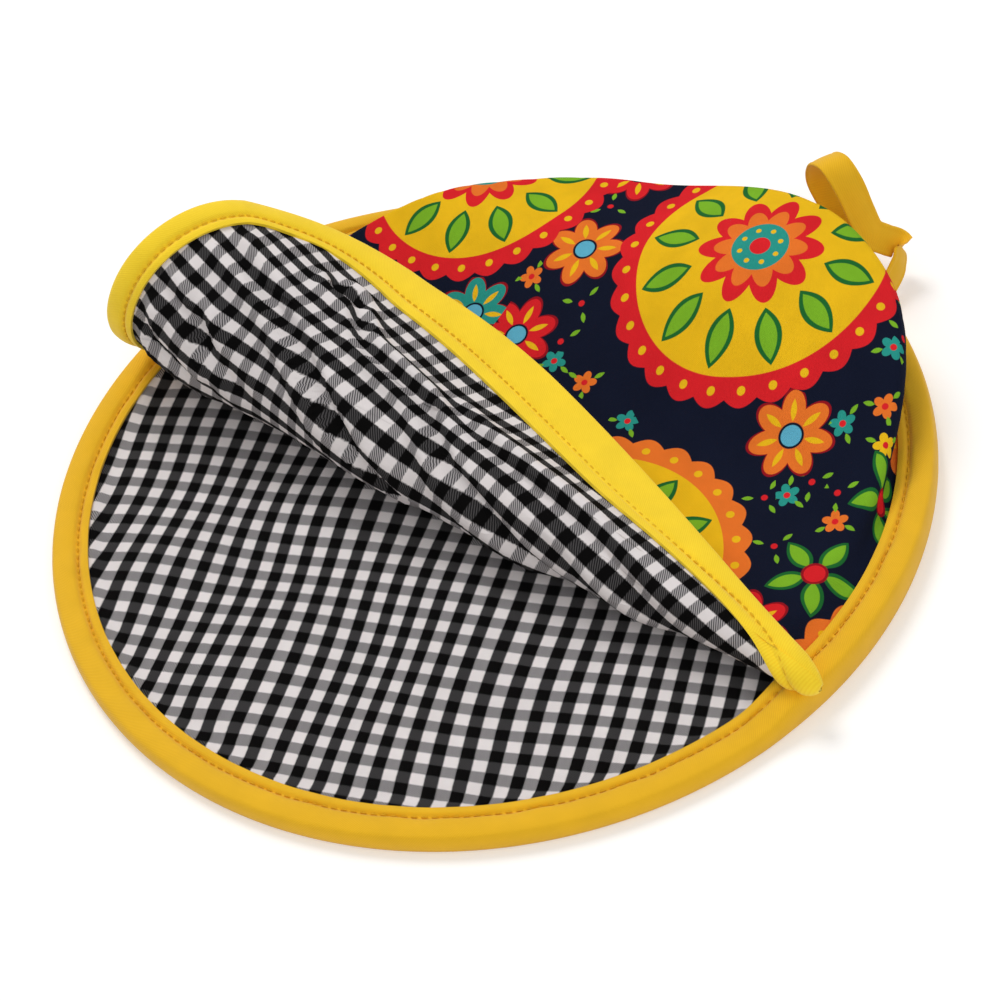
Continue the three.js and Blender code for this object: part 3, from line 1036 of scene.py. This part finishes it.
rim_stitch_from_edge = 3.6
mouth_stitch_from_edge = 5.0
stitch_pitch, stitch_length, stitch_width = 3.3, 2.3, 0.6
stitch_rise = 0.25
least_girth_share = 0.08
stitch_steps = 6
rim_steps = 480
rim_wobbles = ((0.25, 37, 0), (0.2, 61, 1))
wobble_half_width = 3.0
tape_under_map = 4.0


def add_stitch(cloth, start, end, up):
    """A short rounded thread in the piece's second material."""
    way = end - start
    side = np.cross(up, way)
    side /= np.linalg.norm(side)
    share = np.linspace(0, 1, stitch_steps)
    girth = np.sqrt(np.clip(1 - (2 * share - 1) ** 4, least_girth_share, 1)) * stitch_width / 2
    angle = angles_round(stitch_steps)
    spokes = np.cos(angle)[:, None] * side + np.sin(angle)[:, None] * up
    rise = stitch_rise * np.sin(share * math.pi)
    rings = start + way * share[:, None]
    points = rings[:, None] + rise[:, None, None] * up + girth[:, None, None] * spokes
    cloth.tube(points, np.zeros((stitch_steps, stitch_steps + 1, 2)), slot=1)


def tape_map(along, section):
    """The flat map of one ring of tape."""
    run = run_along(section)
    return np.stack([np.full(len(run) + 1, along), np.append(run, run[-1] + tape_under_map)], -1)


def rim_place(azimuth, reach, height):
    x, y = reach * math.cos(azimuth), reach * math.sin(azimuth)
    return draw_in(np.stack(np.broadcast_arrays(x, y, height), -1))


def add_rim_binding():
    azimuth = seam_right_azimuth - rim_climb + math.tau * (1 - np.arange(rim_steps) / rim_steps)
    wobble = sum(reach * np.sin(azimuth * waves + phase) for reach, waves, phase in rim_wobbles)
    rings, flat = [], []
    for angle, extra in zip(azimuth, wobble):
        height = rim_height(angle)
        section = tape_section(0.0, height, tape_width, rim_stitch_from_edge, tape_width)
        section[:, 1] = np.maximum(section[:, 1], 0)
        outer = section[:, 1] > height - tape_thickness / 2
        from_stitch = section[outer, 0] - tape_width + rim_stitch_from_edge
        section[outer, 1] += extra * np.exp(-(from_stitch / wobble_half_width) ** 2)
        rings.append(rim_place(angle, pouch_radius - section[:, 0], section[:, 1]))
        flat.append(tape_map(-angle * pouch_radius, section))
    flat = np.array(flat)
    flat = np.concatenate([flat, flat[-1:] + flat[1:2] - flat[:1]])
    cloth = Cloth()
    cloth.grid(np.array(rings), flat, 0, wrap=True, wrap_rows=True)
    reach = pouch_radius - tape_width + rim_stitch_from_edge
    count = round(math.tau * reach / stitch_pitch)
    span = stitch_length / reach / 2
    for number in range(count):
        angle = math.tau * number / count
        height = rim_height((angle - seam_right_azimuth) % math.tau + seam_right_azimuth)
        start, end = (rim_place(angle + side, reach, height - groove_depth + thread_lift)
                      for side in (-span, span))
        add_stitch(cloth, start, end, np.array([0, 0, 1.0]))
    piece = cloth.build("rim_tape", [rim_twill, rim_thread], "pouch")
    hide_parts("rim_binding")


def width_beside(point, inward, count, full_width):
    """The tape's width, cut off at a ray of the roll."""
    way = flat_way(strip_angle(count))[:2]
    away = point - fold_point[:2]
    distance = way[0] * away[1] - way[1] * away[0]
    approach = inward[0] * way[1] - inward[1] * way[0]
    return distance / approach if distance < approach * full_width else full_width


mouth_low = -panel_thickness - rim_lift
least_tape_width = 3.0
tip_columns, tip_rows = 9, 40


def mouth_stitch(width):
    """The stitches' distance from the inner edge where the tape has a width."""
    return mouth_stitch_from_edge * width / mouth_tape_width


def mouth_rings(first, last):
    rings, flat = [], []
    for point, inward, run in zip(mouth[first:last], mouth_inward[first:last], mouth_run[first:last]):
        full = float(mouth_width(polar(point)[1]))
        width = width_beside(point, inward, crease_count - 1, full) if run > corner_run else full
        width = max(width, least_tape_width)
        section = tape_section(mouth_low, rim_lift, full, mouth_stitch(full), width)
        rings.append(place(point + inward * section[:, :1], section[:, 1]))
        flat.append(tape_map(run, section))
    return np.array(rings), np.array(flat)


def mouth_inner_line(from_inner_edge):
    """A line beside the tape's inner edge, nearer where the tape is narrower."""
    width = mouth_width(polar(mouth)[1])
    return mouth + mouth_inward * (width * (1 - from_inner_edge / mouth_tape_width))[:, None]


def tip_patch(cloth, strip):
    """The tape where it wraps round the roll's tip."""
    angle = strip_angle(np.linspace(strip - 1, strip, tip_columns))
    angles, distances = polar(mouth_inner_line(0)[corner_index + 2:])
    order = np.argsort(angles)
    far = np.interp(angle, angles[order], distances[order])
    distance = fold_tip_run + (far - fold_tip_run) * np.linspace(0, 1, tip_rows)[:, None]
    flat = from_polar(angle, distance)
    full = mouth_width(far)
    from_edge = full * distance / far
    top = mouth_low - under_share * leg_puff(from_edge, mouth_stitch(full), full)
    along = mouth_run[-1] - distance * np.cos(cut_angle - angle)
    cloth.layer(place(flat, top + tape_thickness), place(flat, top), np.stack([along, from_edge], -1))


def add_mouth_binding():
    counts = strip_place(mouth)
    stitch_line = mouth_inner_line(mouth_stitch_from_edge)
    stitch_heights = ((rim_lift - groove_depth + thread_lift, 1),
                      (mouth_low + under_share * groove_depth - thread_lift, -1))
    for strip in range(1, crease_count + 1):
        cloth = Cloth()
        if strip < crease_count:
            on_arc = np.arange(len(mouth)) < corner_index
            inside = np.where((counts > strip - 1) & (counts <= strip) & on_arc)[0]
            first = 0 if strip == 1 else inside[0] - 1
            cloth.tube(*mouth_rings(first, inside[-1] + 1))
            tip_patch(cloth, strip)
        else:
            cloth.tube(*mouth_rings(np.argmax(counts >= crease_count - 1) - 1, len(mouth)))
        for number in range(2, int(mouth_run[-1] / stitch_pitch)):
            runs = number * stitch_pitch + np.array([0, stitch_length])
            ends = points_at(runs, mouth_run, stitch_line)
            if np.clip(math.ceil(strip_place(ends[0])), 1, crease_count) != strip:
                continue
            for height, side in stitch_heights:
                start, end = place(ends, height)
                add_stitch(cloth, start, end, place(ends[:1], height + side)[0] - start)
        name = "mouth_tape" if strip == crease_count else f"mouth_tape_roll_{strip}"
        piece = cloth.build(name, [mouth_twill, mouth_thread], None)
        fold_blend(piece, strip)
        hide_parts("mouth_binding" if strip == crease_count else f"mouth_binding_fold_{strip}")


# The hanging loop, a little smaller than its solid: its places and the ways that its width lies,
# along the rim, outward and up
loop_reach = 41.0
loop_tape_width, loop_tape_thickness = 11.0, 1.6
loop_azimuth = math.radians(62)
loop_samples, loop_section_steps = 150, 28
loop_side_power, loop_face_power = 0.45, 0.6
loop_stitch_inset = 2.0
loop_groove_depth, loop_groove_half_width = 0.3, 0.6
loop_route_shares = [
    (0.24, 0.0, 0.0), (0.44, 0.07, 0.1), (0.66, 0.11, 0.22), (0.88, 0.09, 0.38),
    (0.98, 0.04, 0.64), (0.87, 0.02, 0.92), (0.68, 0.04, 1.0), (0.52, 0.08, 0.84),
    (0.42, 0.12, 0.58), (0.34, 0.16, 0.4), (0.3, 0.27, 0.29), (0.26, 0.37, 0.2),
    (0.15, 0.3, 0.12), (0.06, 0.16, 0.04), (0.0, 0.03, 0.0),
]
loop_width_shares = [
    (0.2, 0.1, 1.0), (0.1, 0.25, 0.9), (0.0, 1.0, 0.5), *[(0.0, 1.0, 0.0)] * 4, (0.0, 1.0, 0.1),
    (0.2, 1.0, 0.3), (0.5, 0.6, 0.7), (0.6, 0.2, 0.9), (0.6, 0.1, 0.9), (0.3, 0.1, 1.0),
    (0.2, 0.1, 1.0), (0.2, 0.2, 1.0),
]


def curve_through(table, samples):
    table = np.array(table)
    padded = np.concatenate([[2 * table[0] - table[1]], table, [2 * table[-1] - table[-2]]])
    where = np.linspace(0, len(table) - 1, samples)
    piece = np.minimum(where.astype(int), len(table) - 2)
    share = (where - piece)[:, None]
    before, start, end, after = (padded[piece + offset] for offset in range(4))
    square = 2 * before - 5 * start + 4 * end - after
    cube = 3 * start - before - 3 * end + after
    return 0.5 * (2 * start + (end - before) * share + square * share ** 2 + cube * share ** 3)


def add_hanging_loop():
    route = curve_through(loop_route_shares, loop_samples) * loop_reach
    width = curve_through(loop_width_shares, loop_samples)
    run = unit(np.gradient(route, axis=0))
    width = unit(width - (width * run).sum(1, keepdims=True) * run)
    across = np.cross(run, width)
    angle = angles_round(loop_section_steps)
    half_width, half_thick = loop_tape_width / 2, loop_tape_thickness / 2
    side = half_width * np.sign(np.cos(angle)) * np.abs(np.cos(angle)) ** loop_side_power
    from_stitch = np.abs(side) - half_width + loop_stitch_inset
    groove = loop_groove_depth * np.exp(-(from_stitch / loop_groove_half_width) ** 2)
    face = half_thick * np.abs(np.sin(angle)) ** loop_face_power - groove
    face = face * np.sign(np.sin(angle))
    points = route[:, None] + side[:, None] * width[:, None] + face[:, None] * across[:, None]
    out = np.array([math.cos(loop_azimuth), math.sin(loop_azimuth), 0])
    along = np.array([-out[1], out[0], 0])
    root = out * (pouch_radius + half_thick + touch_gap)
    root[2] = back_rim_height / 2 + touch_gap
    girth = np.concatenate([side, side[:1]])
    flat = np.stack(np.broadcast_arrays(run_along(route)[:, None], girth), -1)
    cloth = Cloth()
    cloth.tube(points @ np.stack([along, out, [0, 0, 1]]) + root, flat)
    piece = cloth.build("loop_tape", [rim_twill], "loop")
    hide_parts("hanging_loop")


# Camera, light and floor
camera_azimuth, camera_elevation, camera_roll = np.radians([46.6, 46.7, -13.4])
camera_distance = 1000.0
camera_target = (6.9, -3.0, 0.0)
focal_pixels = 2935.0
image_pixels = 1001.0
sensor_width = 36.0
clip_end = 20.0


def add_camera():
    data = bpy.data.cameras.new("camera")
    data.sensor_width = sensor_width
    data.lens = sensor_width * focal_pixels / image_pixels
    data.clip_end = clip_end
    camera = add_object("camera", data)
    camera.matrix_world = (
        Matrix.Translation(Vector(camera_target) * MM)
        @ Matrix.Rotation(camera_azimuth, 4, "Z")
        @ Matrix.Rotation(math.pi / 2 - camera_elevation, 4, "X")
        @ Matrix.Rotation(camera_roll, 4, "Z")
        @ Matrix.Translation((0, 0, camera_distance * MM)))
    bpy.context.scene.camera = camera


def add_light(name, position, size, power):
    data = bpy.data.lights.new(name, "AREA")
    data.shape = "DISK"
    data.size = size
    data.energy = power
    light = add_object(name, data)
    light.location = position
    light.rotation_euler = (-Vector(position)).to_track_quat("-Z", "Y").to_euler()


# Lights: place and width in metres, power in watts
lights = {"key": ((-0.9, 0.5, 1.6), 0.8, 14), "fill": ((1.4, -0.8, 1.3), 1.2, 8)}
floor_half = 4.0
floor_grey = (0.9, 0.9, 0.9, 1)
floor_glow = 0.22
white = (1, 1, 1, 1)
world_strength = 0.55


def add_stage():
    mesh = bpy.data.meshes.new("floor")
    corners = [(x * floor_half, y * floor_half, 0) for x, y in ((-1, -1), (1, -1), (1, 1), (-1, 1))]
    mesh.from_pydata(corners, [], [(0, 1, 2, 3)])
    floor = add_object("floor", mesh)
    paint = Paint("pale_floor", roughness=0.9, specular=0.5)
    seen = new_node(paint.tree, "LightPath", {})
    straight, glossy = seen.outputs["Is Camera Ray"], seen.outputs["Is Glossy Ray"]
    glow = Field(straight).apply("MAXIMUM", glossy) * floor_glow
    paint.set_shader({"Base Color": floor_grey, "Emission Color": white, "Emission Strength": glow})
    mesh.materials.append(paint.material)
    world = bpy.data.worlds.new("world")
    world.use_nodes = True
    background = world.node_tree.nodes["Background"]
    set_inputs(world.node_tree, background, {"Color": white, "Strength": world_strength})
    bpy.context.scene.world = world
    for name, (position, width, power) in lights.items():
        add_light(name, position, width, power)


add_camera()
add_stage()
add_base()
add_upper_panel()
add_rim_binding()
add_mouth_binding()
add_hanging_loop()

bpy.context.scene.view_settings.view_transform = "Standard"
